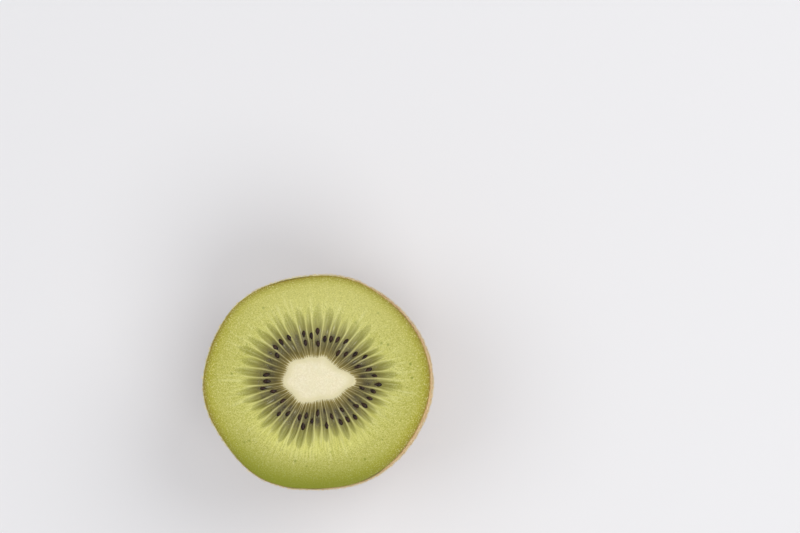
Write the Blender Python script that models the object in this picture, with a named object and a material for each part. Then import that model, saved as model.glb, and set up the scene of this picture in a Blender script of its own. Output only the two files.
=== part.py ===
"""Half of a kiwi fruit, lying on its stem end with the cut face up.

Two solids: the flesh with its peel and the seeds that stand out of the cut, and the pale core
that runs down through it. Metres, +Z up, origin in the middle of the base on the surface that
the half rests on. +X is the fruit's wider way across.
"""

import math
import random
from bisect import bisect_right

import bmesh
import bpy
from mathutils import Matrix, Vector

MM = 0.001

# The whole fruit, and where the knife went through it
FRUIT_LENGTH = 64.0 * MM
CUT_ABOVE_MIDDLE = 5.5 * MM
SIDE_EXPONENT = 2.5  # 2 would make the side an ellipse, more makes the ends blunter
FLAT_DEPTH = 0.35 * MM  # how far the stem end is flattened where it rests
STEM_LEAN = Vector((0.9, -0.6)) * MM  # the stem end lies this far off the middle

# Outline of the cut. Each wave is (lobes round the outline, height, direction of a crest)
RIM_RADIUS = 26.03 * MM
RIM_WAVES = (
    (1, 0.14 * MM, 83.0),
    (2, 0.74 * MM, 178.6),
    (3, 0.12 * MM, 11.0),
    (4, 0.05 * MM, 70.0),
    (5, 0.06 * MM, 9.0),
    (6, 0.23 * MM, 6.0),
    (7, 0.11 * MM, 32.3),
)
STEM_WAVES_KEPT = 0.55  # the outline is rounder towards the stem end

# The pale core
CORE_CENTRE = Vector((0.52, 0.91)) * MM
CORE_RADIUS = 6.17 * MM
CORE_WAVES = (
    (1, 0.60 * MM, 207.0),
    (2, 1.27 * MM, 176.0),
    (3, 0.30 * MM, 103.0),
    (4, 0.35 * MM, 79.0),
    (5, 0.22 * MM, 3.4),
    (6, 0.23 * MM, 2.4),
    (7, 0.09 * MM, 47.6),
    (8, 0.11 * MM, 4.0),
    (9, 0.13 * MM, 33.0),
    (10, 0.12 * MM, 5.0),
)
CORE_DEPTH = 29.0 * MM
CORE_EXPONENT = 2.2
CORE_CROWN = 0.25 * MM  # the firm core stands this much proud of the flesh
CLEARANCE = 0.3 * MM

# Seed chambers round the core, and the relief that they give the cut
CHAMBERS = 43
CHAMBER_DEPTH = 0.35 * MM
SEED_RING_SAG = 0.25 * MM
CHAMBER_START, CHAMBER_FULL, CHAMBER_FADE, CHAMBER_END = 0.02, 0.12, 0.34, 0.58
RIM_DROP = 0.15 * MM
RIM_DROP_START = 0.95

# Seeds
SEED_LENGTH = 1.9 * MM
SEED_WIDTH = 1.08 * MM
SEED_THICKNESS = 0.92 * MM
SEED_POINT = 0.6  # how much narrower the end towards the core is
SEEDS = 44
SEED_DRAW = 7
SEED_TRIES = 600
SEED_SIDEWAYS = (0.32, 0.68)  # where a seed lies across its chamber
SEED_NEAR, SEED_FAR = 1.9 * MM, 6.3 * MM  # from the core's edge
SEED_OUTWARD_BIAS = 0.6
SEED_TURN = 12.0
SEED_GAP_ALONG, SEED_GAP_ACROSS = 2.2 * MM, 1.4 * MM

# The scar under the stem end
SCAR_RADIUS = 3.4 * MM
SCAR_DEPTH = 0.6 * MM
SCAR_SLOPE = 0.7 * MM

# Facets
FACE_SIDES = 4 * CHAMBERS
BODY_SIDES = 2 * CHAMBERS
CORE_SIDES = CHAMBERS
SIDE_BANDS = 15
CORE_BANDS = 6
FACE_SHARES = (0.0, 0.045, 0.12, 0.2, 0.3, 0.4, 0.5, 0.6, 0.75, 0.95, 1.0)
CORE_TOP_SHARES = (1.0, 0.8, 0.5, 0.22)
OUTLINE_SAMPLES = 720

HALF_LENGTH = FRUIT_LENGTH / 2
MIDDLE_HEIGHT = HALF_LENGTH - FLAT_DEPTH
CUT_HEIGHT = MIDDLE_HEIGHT + CUT_ABOVE_MIDDLE


def clear_scene():
    for obj in list(bpy.data.objects):
        bpy.data.objects.remove(obj, do_unlink=True)


def smooth_step(low, high, x):
    share = min(1.0, max(0.0, (x - low) / (high - low)))
    return share * share * (3 - 2 * share)


def waved_radius(mean, waves, angle, kept=1.0):
    """Radius of a nearly round outline, in a direction."""
    return mean + kept * sum(
        height * math.cos(lobes * (angle - math.radians(crest)))
        for lobes, height, crest in waves
    )


def side_scale(height):
    """Width of the fruit at a height, as a share of its widest."""
    share = min(1.0, abs(height - MIDDLE_HEIGHT) / HALF_LENGTH)
    return (1 - share**SIDE_EXPONENT) ** (1 / SIDE_EXPONENT)


def peel_point(angle, height):
    """A point of the fruit's outside."""
    below_cut = 1 - height / CUT_HEIGHT
    kept = 1 - (1 - STEM_WAVES_KEPT) * below_cut
    radius = waved_radius(RIM_RADIUS, RIM_WAVES, angle, kept)
    radius *= side_scale(height) / side_scale(CUT_HEIGHT)
    offset = STEM_LEAN * below_cut**2
    return Vector((offset.x + radius * math.cos(angle), offset.y + radius * math.sin(angle), height))


def core_outline(sides, shrink=1.0, inset=0.0):
    """Points round the core, the same length of edge apart, starting at its +X end."""
    turns = [math.tau * i / OUTLINE_SAMPLES for i in range(OUTLINE_SAMPLES + 1)]
    radii = [shrink * waved_radius(CORE_RADIUS, CORE_WAVES, a) - inset for a in turns]
    loop = [CORE_CENTRE + Vector((r * math.cos(a), r * math.sin(a))) for a, r in zip(turns, radii)]
    run = [0.0]
    for a, b in zip(loop, loop[1:]):
        run.append(run[-1] + (b - a).length)
    points = []
    for i in range(sides):
        wanted = run[-1] * i / sides
        j = bisect_right(run, wanted) - 1
        share = (wanted - run[j]) / (run[j + 1] - run[j])
        points.append(loop[j].lerp(loop[j + 1], share))
    return points


def core_scale(depth):
    """Width of the core at a depth below the cut, as a share of its width at the cut."""
    share = min(1.0, depth / CORE_DEPTH)
    return (1 - share**CORE_EXPONENT) ** (1 / CORE_EXPONENT)


def chamber_strength(share):
    """How strongly the seed chambers mark the cut, at a share of the way from core to rim."""
    rise = smooth_step(CHAMBER_START, CHAMBER_FULL, share)
    return rise * (1 - smooth_step(CHAMBER_FADE, CHAMBER_END, share))


def cut_height(chamber, share):
    """Height of the flesh's cut face. A whole chamber number is a wall between two chambers."""
    strength = chamber_strength(share)
    hollow = 0.5 - 0.5 * math.cos(math.tau * chamber)
    drop = RIM_DROP * max(0.0, (share - RIM_DROP_START) / (1 - RIM_DROP_START)) ** 2
    return CUT_HEIGHT - strength * (SEED_RING_SAG + CHAMBER_DEPTH * hollow) - drop


def face_ring(share, core_points):
    """A ring of the cut face, between the core's edge and the rim."""
    sides = len(core_points)
    ring = []
    for i, inner in enumerate(core_points):
        outer = peel_point(math.tau * i / sides, CUT_HEIGHT).xy
        spot = inner.lerp(outer, share)
        ring.append(Vector((spot.x, spot.y, cut_height(CHAMBERS * i / sides, share))))
    return ring


def at_height(points, height):
    return [Vector((p.x, p.y, height)) for p in points]


def pit_ring(depth):
    """A ring of the hole that the core fills."""
    outline = core_outline(CORE_SIDES, core_scale(depth))
    return at_height(outline, CUT_HEIGHT - depth)


def scar_ring(radius, height):
    ring = []
    for i in range(CORE_SIDES):
        angle = math.tau * i / CORE_SIDES
        spot = STEM_LEAN + Vector((radius * math.cos(angle), radius * math.sin(angle)))
        ring.append(Vector((spot.x, spot.y, height)))
    return ring


def side_turn(depth):
    """Angle round the curve of the side, at a depth below the fruit's middle."""
    share = depth / HALF_LENGTH
    return math.copysign(math.asin(abs(share) ** (SIDE_EXPONENT / 2)), share)


def side_height(turn):
    depth = HALF_LENGTH * abs(math.sin(turn)) ** (2 / SIDE_EXPONENT)
    return MIDDLE_HEIGHT - math.copysign(depth, turn)


def skin_rings():
    """Rings down the outside, from below the rim to the edge of the flat spot."""
    first = side_turn(MIDDLE_HEIGHT - (CUT_HEIGHT - RIM_DROP))
    last = side_turn(MIDDLE_HEIGHT)
    heights = [side_height(first + (last - first) * i / SIDE_BANDS) for i in range(1, SIDE_BANDS)]
    heights.append(0.0)
    rings = []
    for height in heights:
        rings.append([peel_point(math.tau * i / BODY_SIDES, height) for i in range(BODY_SIDES)])
    return rings


def stitch(bm, upper, lower):
    """A band of triangles between two rings, which may have different counts."""
    i = j = 0
    while i < len(upper) or j < len(lower):
        a = upper[i % len(upper)]
        b = lower[j % len(lower)]
        if (i + 0.5) / len(upper) <= (j + 0.5) / len(lower):
            i += 1
            bm.faces.new((a, b, upper[i % len(upper)]))
        else:
            j += 1
            bm.faces.new((a, b, lower[j % len(lower)]))


def loft(name, rings, peak=None):
    """A closed solid through a run of rings, from the top or the inside outwards and down.
    The last ring is closed flat, the first too unless a peak point is given for it."""
    bm = bmesh.new()
    loops = [[bm.verts.new(p) for p in ring] for ring in rings]
    for upper, lower in zip(loops, loops[1:]):
        stitch(bm, upper, lower)
    if peak is None:
        bm.faces.new(loops[0])
    else:
        top = bm.verts.new(peak)
        for a, b in zip(loops[0], loops[0][1:] + loops[0][:1]):
            bm.faces.new((top, a, b))
    bm.faces.new(reversed(loops[-1]))
    bmesh.ops.triangulate(bm, faces=bm.faces)
    mesh = bpy.data.meshes.new(name)
    bm.to_mesh(mesh)
    bm.free()
    obj = bpy.data.objects.new(name, mesh)
    bpy.context.scene.collection.objects.link(obj)
    return obj


def smooth(obj, angle=40.0):
    obj.data.shade_smooth()
    obj.data.set_sharp_from_angle(angle=math.radians(angle))


def plain_material(name, colour, roughness):
    material = bpy.data.materials.new(name)
    material.use_nodes = True
    shader = material.node_tree.nodes["Principled BSDF"]
    shader.inputs["Base Color"].default_value = (*colour, 1)
    shader.inputs["Roughness"].default_value = roughness
    shader.inputs["Metallic"].default_value = 0
    return material


def seed_spot(chamber, distance, core_points):
    """Where a seed lies on the cut, and the way from the core to the rim there."""
    inner = core_points[int(chamber / CHAMBERS * OUTLINE_SAMPLES) % OUTLINE_SAMPLES]
    outer = peel_point(math.tau * chamber / CHAMBERS, CUT_HEIGHT).xy
    return inner + (outer - inner).normalized() * distance, outer - inner


def crowded(spot, outward, others):
    """Whether a seed here would meet another one."""
    along = outward.normalized()
    for other in others:
        apart = spot - other
        length = abs(apart.dot(along)) / SEED_GAP_ALONG
        width = abs(apart.cross(along)) / SEED_GAP_ACROSS
        if math.hypot(length, width) < 1:
            return True
    return False


def seed_places():
    """(chamber, distance from the core's edge, turn) of each seed that shows."""
    draw = random.Random(SEED_DRAW)
    core_points = core_outline(OUTLINE_SAMPLES)
    places = []
    taken = []
    for _ in range(SEED_TRIES):
        chamber = draw.randrange(CHAMBERS) + draw.uniform(*SEED_SIDEWAYS)
        distance = SEED_NEAR + (SEED_FAR - SEED_NEAR) * draw.random() ** SEED_OUTWARD_BIAS
        turn = draw.gauss(0, SEED_TURN)
        spot, outward = seed_spot(chamber, distance, core_points)
        if len(places) < SEEDS and not crowded(spot, outward, taken):
            places.append((chamber, distance, turn))
            taken.append(spot)
    return places


def seed_frame(chamber, distance, turn, core_points):
    """Place of a seed: its own +X points from the core to the rim."""
    spot, outward = seed_spot(chamber, distance, core_points)
    height = cut_height(chamber, distance / outward.length)
    facing = math.atan2(outward.y, outward.x) + math.radians(turn)
    return Matrix.Translation((spot.x, spot.y, height)) @ Matrix.Rotation(facing, 4, "Z")


def seed(number, placed):
    """A flattened drop, pointed towards the core."""
    bm = bmesh.new()
    bmesh.ops.create_uvsphere(bm, u_segments=6, v_segments=4, radius=0.5)
    bmesh.ops.rotate(bm, verts=bm.verts, matrix=Matrix.Rotation(math.pi / 2, 3, "Y"))
    for v in bm.verts:
        narrowing = 1 - SEED_POINT * max(0.0, -2 * v.co.x)
        v.co.y *= narrowing * SEED_WIDTH
        v.co.z *= narrowing * SEED_THICKNESS
        v.co.x *= SEED_LENGTH
    bm.transform(placed)
    mesh = bpy.data.meshes.new(f"seed_{number}")
    bm.to_mesh(mesh)
    bm.free()
    return bpy.data.objects.new(f"seed_{number}", mesh)


def add_seeds(flesh):
    """Joins every seed to the flesh that it lies in."""
    group = bpy.data.collections.new("seeds")
    bpy.context.scene.collection.children.link(group)
    core_points = core_outline(OUTLINE_SAMPLES)
    for number, place in enumerate(seed_places()):
        group.objects.link(seed(number, seed_frame(*place, core_points)))
    join = flesh.modifiers.new("seeds", "BOOLEAN")
    join.operation = "UNION"
    join.operand_type = "COLLECTION"
    join.collection = group
    join.solver = "EXACT"
    bpy.context.view_layer.objects.active = flesh
    bpy.ops.object.modifier_apply(modifier=join.name)
    for obj in list(group.objects):
        bpy.data.objects.remove(obj, do_unlink=True)
    bpy.data.collections.remove(group)


def make_flesh():
    core_points = core_outline(FACE_SIDES)
    depths = [CORE_DEPTH * math.sin(math.pi / 2 * i / CORE_BANDS) for i in range(1, CORE_BANDS)]
    rings = [pit_ring(depth) for depth in reversed(depths)]
    rings += [face_ring(share, core_points) for share in FACE_SHARES]
    rings += skin_rings()
    rings.append(scar_ring(SCAR_RADIUS + SCAR_SLOPE, 0.0))
    rings.append(scar_ring(SCAR_RADIUS, SCAR_DEPTH))
    flesh = loft("flesh", rings)
    add_seeds(flesh)
    flesh.data.materials.clear()
    flesh.data.materials.append(plain_material("kiwi flesh", (0.46, 0.50, 0.13), 0.35))
    smooth(flesh)
    return flesh


def make_core():
    top = core_outline(BODY_SIDES, inset=CLEARANCE)
    peak = Vector((*CORE_CENTRE, CUT_HEIGHT + CORE_CROWN))
    rings = []
    for share in reversed(CORE_TOP_SHARES):
        crown = CORE_CROWN * (1 - share**2)
        rings.append([Vector((*CORE_CENTRE.lerp(p, share), CUT_HEIGHT + crown)) for p in top])
    for band in range(1, CORE_BANDS):
        depth = CORE_DEPTH * math.sin(math.pi / 2 * band / CORE_BANDS)
        outline = core_outline(CORE_SIDES, core_scale(depth), CLEARANCE)
        lift = CLEARANCE if band == CORE_BANDS - 1 else 0.0
        rings.append(at_height(outline, CUT_HEIGHT - depth + lift))
    core = loft("core", rings, peak)
    core.data.materials.append(plain_material("kiwi core", (0.88, 0.82, 0.58), 0.4))
    smooth(core)
    return core


def main():
    clear_scene()
    make_flesh()
    make_core()


main()
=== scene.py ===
"""The looks of half a kiwi fruit: moist flesh with its seed chambers, the pale core, seeds, and
the brown peel with its hairs. Metres, +Z up. The shape repeats the solids' own sizes.
"""

import math
import random

import bmesh
import bpy
import numpy as np
from mathutils import Matrix, Vector


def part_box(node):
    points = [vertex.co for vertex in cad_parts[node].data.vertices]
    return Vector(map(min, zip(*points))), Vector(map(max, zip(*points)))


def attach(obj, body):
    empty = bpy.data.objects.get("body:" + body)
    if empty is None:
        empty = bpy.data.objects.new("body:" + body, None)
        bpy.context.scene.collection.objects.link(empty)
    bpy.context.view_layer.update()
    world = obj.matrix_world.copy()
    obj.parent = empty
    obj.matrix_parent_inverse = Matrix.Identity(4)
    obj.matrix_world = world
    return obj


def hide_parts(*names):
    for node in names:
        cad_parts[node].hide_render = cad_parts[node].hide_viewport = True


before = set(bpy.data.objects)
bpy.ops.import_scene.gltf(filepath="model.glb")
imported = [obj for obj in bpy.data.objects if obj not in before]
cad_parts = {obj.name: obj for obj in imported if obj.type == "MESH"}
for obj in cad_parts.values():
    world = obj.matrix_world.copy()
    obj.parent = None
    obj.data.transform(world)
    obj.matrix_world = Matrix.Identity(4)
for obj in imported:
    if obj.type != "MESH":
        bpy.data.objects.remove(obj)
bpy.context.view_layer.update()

MM = 0.001

# The whole fruit, and where the knife went through it
FRUIT_LENGTH = 64.0 * MM
CUT_ABOVE_MIDDLE = 5.5 * MM
SIDE_EXPONENT = 2.5
STEM_LEAN = np.array((0.9, -0.6)) * MM
RIM_RADIUS = 26.03 * MM
RIM_WAVES = (
    (1, 0.14 * MM, 83.0),
    (2, 0.74 * MM, 178.6),
    (3, 0.12 * MM, 11.0),
    (4, 0.05 * MM, 70.0),
    (5, 0.06 * MM, 9.0),
    (6, 0.23 * MM, 6.0),
    (7, 0.11 * MM, 32.3),
)
STEM_WAVES_KEPT = 0.55

# The pale core
CORE_CENTRE = np.array((0.52, 0.91)) * MM
CORE_RADIUS = 6.17 * MM
CORE_WAVES = (
    (1, 0.60 * MM, 207.0),
    (2, 1.27 * MM, 176.0),
    (3, 0.30 * MM, 103.0),
    (4, 0.35 * MM, 79.0),
    (5, 0.22 * MM, 3.4),
    (6, 0.23 * MM, 2.4),
    (7, 0.09 * MM, 47.6),
    (8, 0.11 * MM, 4.0),
    (9, 0.13 * MM, 33.0),
    (10, 0.12 * MM, 5.0),
)
CORE_DEPTH = 29.0 * MM
CORE_EXPONENT = 2.2
CORE_CROWN = 0.25 * MM

# Relief of the cut
CHAMBERS = 43
CHAMBER_DEPTH = 0.35 * MM
SEED_RING_SAG = 0.25 * MM
RING_RIPPLE = 0.04 * MM
LINE_HEIGHT = 0.05 * MM  # how far the pale lines stand up
OUTER_RIPPLE = 0.012 * MM
CHAMBER_START, CHAMBER_FULL, CHAMBER_FADE, CHAMBER_END = 0.02, 0.12, 0.34, 0.58
RIM_DROP = 0.15 * MM
RIM_DROP_START = 0.95

# Seeds
SEED_LENGTH = 1.9 * MM
SEED_WIDTH = 1.08 * MM
SEED_THICKNESS = 0.92 * MM
SEED_POINT = 0.6
SEEDS = 44
SEED_DRAW = 7
SEED_TRIES = 600
SEED_SIDEWAYS = (0.32, 0.68)
SEED_NEAR, SEED_FAR = 1.9 * MM, 6.3 * MM
SEED_OUTWARD_BIAS = 0.6
SEED_TURN = 12.0
SEED_GAP_ALONG, SEED_GAP_ACROSS = 2.2 * MM, 1.4 * MM
SEED_SIZES = (0.86, 1.06)  # shares of the sizes above
SEED_LIFT = (-0.08, 0.05)  # mm above the solids' seeds
SEED_PITCH = 0.12  # spread of its lean along its length
OUTLINE_SAMPLES = 720

# The scar under the stem end
SCAR_RADIUS = 3.4 * MM
SCAR_DEPTH = 0.6 * MM
SCAR_SLOPE = 0.7 * MM
SCAR_SIDES = 96
SCAR_RINGS = (  # radius, height and ripple in mm; the first is hidden inside the peel
    (3.2, 0.9, 0.0),
    (3.3, 0.3, 0.04),
    (3.32, 0.32, 0.04),
    (2.9, 0.24, 0.04),
    (2.3, 0.16, 0.04),
    (1.6, 0.22, 0.04),
    (0.9, 0.28, 0.04),
    (0.4, 0.32, 0.04),
)

# How the chambers and the pale lines look. Lengths are in mm
PITCH_AT_CORE = 0.97  # mean width of a chamber
PITCH_GROWTH = 2.83  # from the core's edge to the rim
CHAMBER_LENGTH = (11.4, 0.9)  # mean and spread
CHAMBER_HALF_WIDTH = (0.84, 1.12)  # where it is widest
CHAMBER_TAPER = 5.0  # length of the narrowing end
CORE_LINE_LENGTH = (1.8, 5.0)
RAYS_PER_CHAMBER = 4
RAY_START = (8.0, 1.1)  # mean and spread
RAY_LENGTH = (2.5, 7.5)
BURIED_SEEDS = (1, 2, 2, 3)  # how many a chamber may have
BURIED_REACH = (2.0, 6.6, 4.4)  # least, most and likeliest distance from the core's edge
# painted glints: pale streaks that stand in for light reflected off the wet gel
PAINTED_GLINT_STREAKS = 26
OFF_THE_CUT = 19.0  # distance given to points that aren't on the cut
FIBRE_STRETCH = 0.1  # how little the noise of the fibres changes outwards, against round

# Peel and hairs
PEEL_THICKNESS = 0.16 * MM
PEEL_LUMP = 0.10 * MM
MEAN_REACH = 19.5 * MM  # from the core's edge to the rim
GAP = 0.02 * MM
SIDE_INSET = 0.17 * MM  # keeps the flesh under the hollows of the peel
SIDE_INSET_DEPTH = 3 * MM  # below the rim, where the inset is whole
STEM_INSET = 0.5 * MM  # the same at the stem end
STEM_INSET_HEIGHT = 12 * MM
CORE_LAP = 0.04 * MM  # how far the core's top reaches over the seam round it
HAIRS = 19000
HAIR_LENGTH = (0.45 * MM, 0.95 * MM)
HAIR_RADIUS = 0.043 * MM
DOWN_HAIRS = 19000
DOWN_LENGTH = (0.25 * MM, 0.6 * MM)
DOWN_RADIUS = 0.02 * MM
HAIR_LEAN = (30, 75)  # degrees from upright
HAIR_ROOT = 0.03 * MM  # how far each root is under the peel
HAIR_SIDES = 3
HAIR_MIDDLE = (0.5, 0.10)  # shares of its length, straight on and along its bend
HAIR_TIP = (0.86, 0.42)
HAIR_MIDDLE_WIDTH = 0.75
TUFT = 5  # hairs that stand together
TUFT_SPREAD = 0.12 * MM
BARE_HEIGHT = 0.6 * MM  # no hair grows below this
FLOOR_GAP = 0.03 * MM  # no hair reaches below this

# Mesh sizes
FACE_SIDES = 24 * CHAMBERS
INNER_RINGS = 62  # from the core to past the chambers
INNER_SHARE = 0.6  # the part of the cut that they cover
OUTER_RINGS = 30
SOCKET_RINGS = 10  # down the core and its socket
SIDE_RINGS = 18
PEEL_SIDES = 430
PEEL_BANDS = 56
CORE_RINGS = 26
SHARP_ANGLE = 38.0
RIPPLE_WAVES = 14

# Where each random draw starts, apart from SEED_DRAW
WALL_DRAW = 20
CHAMBER_DRAW = 21
CORE_LINE_DRAW = 37
RAY_DRAW = 29
BURIED_DRAW = 5
FLESH_DRAW = 3
CORE_DRAW = 9
PEEL_DRAW = 11
SEED_SIZE_DRAW = 17
SCAR_DRAW = 23
HAIR_DRAW = 31
DOWN_DRAW = 32

HALF_LENGTH = FRUIT_LENGTH / 2
CUT_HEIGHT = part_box("flesh")[1][2]
MIDDLE_HEIGHT = CUT_HEIGHT - CUT_ABOVE_MIDDLE
RIM_HEIGHT = CUT_HEIGHT - RIM_DROP

# Camera
FOCAL_LENGTH = 85.0
SENSOR_WIDTH = 36.0
CAMERA_DISTANCE = 445 * MM
CAMERA_TILT = 6.1
CAMERA_AZIMUTH = -6.0
FRAME_WIDTH, FRAME_HEIGHT = 800, 533
CUT_PIXEL = (316.25, 381.7)

# Lamps: name, azimuth, elevation, distance, size and power
LAMPS = (
    ("window", 31, 44, 1.5, 1.2, 8.1),
    ("left", 175, 56, 1.3, 0.9, 2.8),
    ("front", -54, 52, 1.3, 0.9, 5.1),
)
LAMP_COLOUR = (1.0, 0.985, 0.96)
ROOM_COLOUR = (0.97, 0.98, 1.0, 1)
ROOM_STRENGTH = 0.46
FLOOR_SIZE = 4.0
FLOOR_COLOUR = (0.84, 0.84, 0.866, 1)


def smooth_step(low, high, x):
    share = np.clip((x - low) / (high - low), 0.0, 1.0)
    return share * share * (3 - 2 * share)


def bell(offset, width):
    return np.exp(-((offset / width) ** 2))


def full_circle(sides):
    return np.arange(sides) * math.tau / sides


def waved_radius(mean, waves, turns, kept=1.0):
    """Radius of a nearly round outline, in some directions."""
    radius = np.full(np.shape(turns), float(mean))
    for lobes, height, crest in waves:
        radius += kept * height * np.cos(lobes * (turns - math.radians(crest)))
    return radius


def side_scale(height):
    """Width of the fruit at a height, as a share of its widest."""
    share = min(1.0, abs(height - MIDDLE_HEIGHT) / HALF_LENGTH)
    return (1 - share**SIDE_EXPONENT) ** (1 / SIDE_EXPONENT)


def peel_ring(turns, height):
    """Points of the fruit's outside."""
    below_cut = 1 - height / CUT_HEIGHT
    kept = 1 - (1 - STEM_WAVES_KEPT) * below_cut
    radius = waved_radius(RIM_RADIUS, RIM_WAVES, turns, kept)
    radius *= side_scale(height) / side_scale(CUT_HEIGHT)
    offset = STEM_LEAN * below_cut**2
    x = offset[0] + radius * np.cos(turns)
    y = offset[1] + radius * np.sin(turns)
    return np.stack([x, y, np.full_like(x, height)], axis=-1)


def core_outline(sides, shrink=1.0, inset=0.0):
    """Points round the core, the same length of edge apart, starting at its +X end."""
    turns = np.linspace(0, math.tau, OUTLINE_SAMPLES + 1)
    radii = shrink * waved_radius(CORE_RADIUS, CORE_WAVES, turns) - inset
    loop = CORE_CENTRE + np.stack([radii * np.cos(turns), radii * np.sin(turns)], axis=-1)
    steps = np.linalg.norm(np.diff(loop, axis=0), axis=1)
    run = np.concatenate([[0.0], np.cumsum(steps)])
    wanted = run[-1] * np.arange(sides) / sides
    return np.stack([np.interp(wanted, run, loop[:, k]) for k in (0, 1)], axis=-1)


def core_scale(depth):
    share = min(1.0, depth / CORE_DEPTH)
    return (1 - share**CORE_EXPONENT) ** (1 / CORE_EXPONENT)


def cut_height(chamber, share):
    """Height of the flesh's cut face. A whole chamber number is a wall between two chambers."""
    strength = smooth_step(CHAMBER_START, CHAMBER_FULL, share)
    strength = strength * (1 - smooth_step(CHAMBER_FADE, CHAMBER_END, share))
    hollow = 0.5 - 0.5 * np.cos(math.tau * chamber)
    drop = RIM_DROP * np.maximum(0.0, (share - RIM_DROP_START) / (1 - RIM_DROP_START)) ** 2
    return CUT_HEIGHT - strength * (SEED_RING_SAG + CHAMBER_DEPTH * hollow) - drop


def side_turn(depth):
    """Angle round the curve of the side, at a depth below the fruit's middle."""
    share = depth / HALF_LENGTH
    return math.copysign(math.asin(abs(share) ** (SIDE_EXPONENT / 2)), share)


def side_heights(bands):
    """Heights down the outside, evenly spaced round its curve, from the rim to the base."""
    first = side_turn(MIDDLE_HEIGHT - RIM_HEIGHT)
    last = side_turn(MIDDLE_HEIGHT)
    turns = [first + (last - first) * i / bands for i in range(bands)]
    heights = [
        MIDDLE_HEIGHT - math.copysign(HALF_LENGTH * abs(math.sin(t)) ** (2 / SIDE_EXPONENT), t)
        for t in turns
    ]
    return heights + [0.0]


def grid_normals(grid):
    """Outward normals of a grid of points, whose rings run down the outside."""
    around = np.roll(grid, -1, axis=1) - np.roll(grid, 1, axis=1)
    down = np.gradient(grid, axis=0)
    normals = np.cross(down, around)
    return normals / np.linalg.norm(normals, axis=-1, keepdims=True)


def ripples(points, size, draw):
    """Smooth unevenness between about -1 and 1, with bumps of about a given size."""
    total = np.zeros(points.shape[:-1])
    for _ in range(RIPPLE_WAVES):
        way = np.array([draw.gauss(0, 1) for _ in range(3)])
        way *= math.pi / size * draw.uniform(0.7, 1.3) / np.linalg.norm(way)
        total += np.cos(points @ way + draw.uniform(0, math.tau))
    return total / math.sqrt(RIPPLE_WAVES)


def closed_loft(name, rings):
    """A closed mesh through rings of the same count, with both ends closed by a fan."""
    count = len(rings[0])
    points = np.concatenate([*rings, [rings[0].mean(axis=0)], [rings[-1].mean(axis=0)]])
    here = np.arange(count)
    after = (here + 1) % count
    quads = []
    for k in range(len(rings) - 1):
        a, b = k * count, (k + 1) * count
        quads.append(np.stack([a + here, b + here, b + after, a + after], axis=-1))
    quads = np.concatenate(quads)
    first, last = len(points) - 2, len(points) - 1
    end = (len(rings) - 1) * count
    fans = [np.stack([np.full(count, first), here, after], axis=-1)]
    fans.append(np.stack([np.full(count, last), end + after, end + here], axis=-1))
    fans = np.concatenate(fans)
    mesh = bpy.data.meshes.new(name)
    mesh.vertices.add(len(points))
    mesh.vertices.foreach_set("co", points.ravel())
    corners = np.concatenate([quads.ravel(), fans.ravel()])
    mesh.loops.add(len(corners))
    mesh.loops.foreach_set("vertex_index", corners.astype(np.int32))
    starts = np.concatenate([np.arange(len(quads)) * 4, 4 * len(quads) + np.arange(len(fans)) * 3])
    mesh.polygons.add(len(starts))
    mesh.polygons.foreach_set("loop_start", starts.astype(np.int32))
    mesh.update(calc_edges=True)
    mesh.validate()
    mesh.shade_smooth()
    mesh.set_sharp_from_angle(angle=math.radians(SHARP_ANGLE))
    return place(name, mesh)


def place(name, mesh):
    obj = bpy.data.objects.new(name, mesh)
    bpy.context.scene.collection.objects.link(obj)
    return obj


def give(mesh, name, values):
    """Stores a number for each point of a mesh."""
    layer = mesh.attributes.new(name, "FLOAT", "POINT")
    layer.data.foreach_set("value", np.asarray(values, dtype=np.float32).ravel())


def give_vectors(mesh, name, values):
    """Stores a vector for each point of a mesh."""
    layer = mesh.attributes.new(name, "FLOAT_VECTOR", "POINT")
    layer.data.foreach_set("vector", np.asarray(values, dtype=np.float32).ravel())


def to_linear(level):
    level = level / 255
    return level / 12.92 if level <= 0.04045 else ((level + 0.055) / 1.055) ** 2.4


def paint(red, green, blue):
    """A colour given as it looks on a screen."""
    return (to_linear(red), to_linear(green), to_linear(blue), 1.0)


CORE_EDGE_COLOUR = paint(222, 213, 171)
RAMP_LENGTH = 20.0  # mm from the core's edge that a colour ramp spans
CORE_TIP = (8.6 * MM, 0.2 * MM, CUT_HEIGHT)
SHADED_RIM_TURN = math.radians(262)  # the way from the middle to the side whose rim gets painted shade, from +X
SHADED_RIM_SIDE = (math.cos(SHADED_RIM_TURN), math.sin(SHADED_RIM_TURN), 0.0)


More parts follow.
